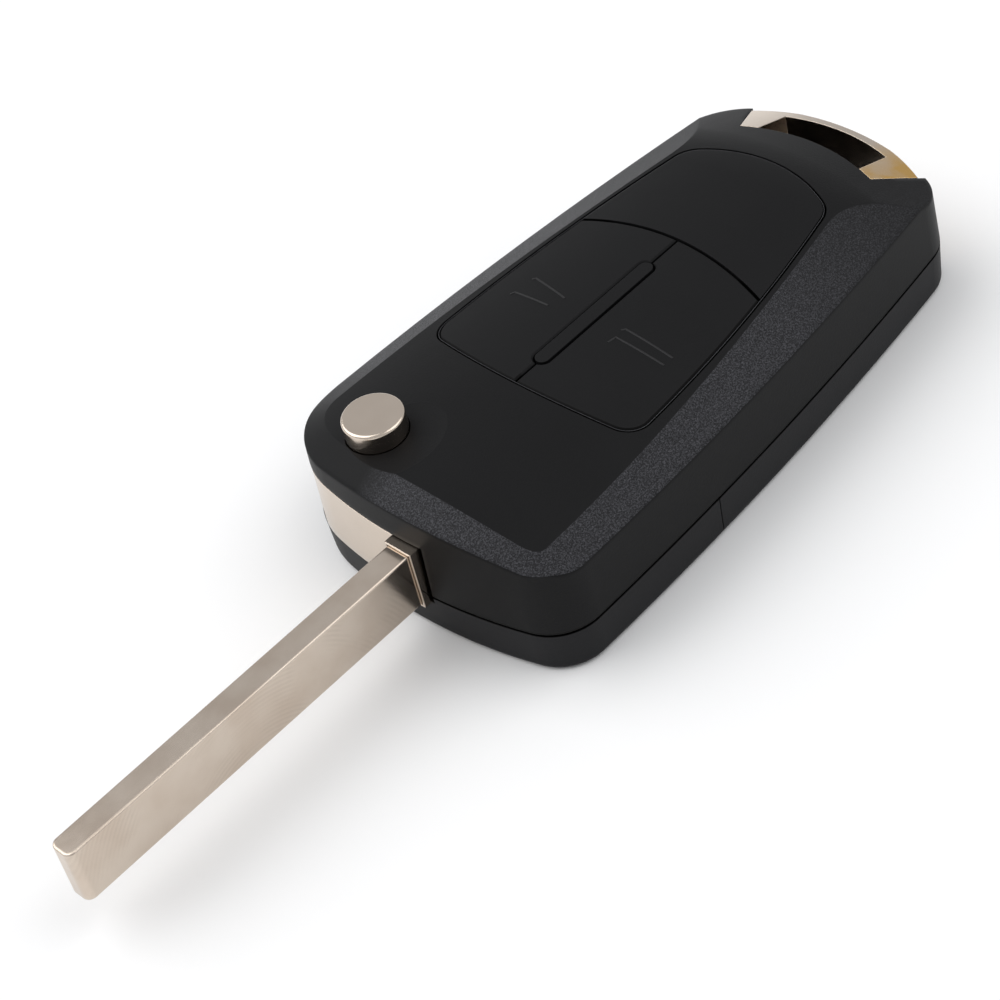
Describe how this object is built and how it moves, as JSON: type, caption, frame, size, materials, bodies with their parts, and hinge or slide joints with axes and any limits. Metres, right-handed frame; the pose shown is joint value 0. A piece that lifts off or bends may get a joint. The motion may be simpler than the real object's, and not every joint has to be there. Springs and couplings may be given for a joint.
{
  "type": "car remote key",
  "caption": "Flip-out car remote key: crowned casing with press buttons, a release button, a folding uncut blade, its side slot, and a key ring bar.",
  "frame": {"origin": "on the flat back face, under the middle of the casing's length, on its centre line", "axes": "+X from the blade end to the key ring end, +Y towards the slot that the blade folds into, +Z from the back face up to the buttons"},
  "size_m": [0.1292, 0.0435, 0.0205],
  "materials": {
    "casing": "fine soft-touch grain",
    "buttons": "fine soft-touch grain",
    "nickel": "satin warm nickel",
    "steel": "satin, faintly milled",
    "bar_metal": "satin warm nickel",
    "rubber": "matte",
    "board": "satin resist over glass fibre",
    "component": "matte moulding",
    "can": "bright can",
    "cell": "satin",
    "contact": "bright strip",
    "spring_steel": "drawn wire",
    "carrier": "matte moulding"
  },
  "bodies": {
    "casing": {"upper_shell": "casing", "lower_shell": "casing", "battery_cover": "casing", "key_ring_bar": "bar_metal", "hub_spring": "spring_steel", "centre_bar": "buttons", "keypad_membrane": "rubber", "circuit_board": "board", "unlock_switch": "component", "lock_switch": "component", "boot_switch": "component", "transmitter_chip": "component", "crystal": "can", "battery": "cell", "contact_negative": "contact", "contact_positive": "contact", "board_carrier": "carrier", "transponder": "component"},
    "flip_head": {"blade_hub": "nickel", "key_blade": "steel", "blade_pin": "steel"},
    "release": {"release_button": "nickel"},
    "unlock": {"unlock_button": "buttons"},
    "lock": {"lock_button": "buttons"},
    "boot": {"boot_button": "buttons"}
  },
  "joints": [
    {"name": "blade_flip", "type": "hinge", "parent": "casing", "child": "flip_head", "pos_m": [-0.0318, 0.00823, 0.009], "axis": [0, 0, -1], "range_deg": [0, 183], "stiffness_Nm_per_rad": 0.008, "springref_deg": -28.65},
    {"name": "release_press", "type": "slide", "parent": "flip_head", "child": "release", "axis": [0, 0, -1], "range_m": [0, 0.0015], "stiffness_N_per_m": 800, "deforming": ["hub_spring"]},
    {"name": "unlock_press", "type": "slide", "parent": "casing", "child": "unlock", "axis": [0, 0, -1], "range_m": [0, 0.0004], "stiffness_N_per_m": 2000, "deforming": ["keypad_membrane"]},
    {"name": "lock_press", "type": "slide", "parent": "casing", "child": "lock", "axis": [0, 0, -1], "range_m": [0, 0.0004], "stiffness_N_per_m": 2000, "deforming": ["keypad_membrane"]},
    {"name": "boot_press", "type": "slide", "parent": "casing", "child": "boot", "axis": [0, 0, -1], "range_m": [0, 0.0004], "stiffness_N_per_m": 2000, "deforming": ["keypad_membrane"]}
  ]
}
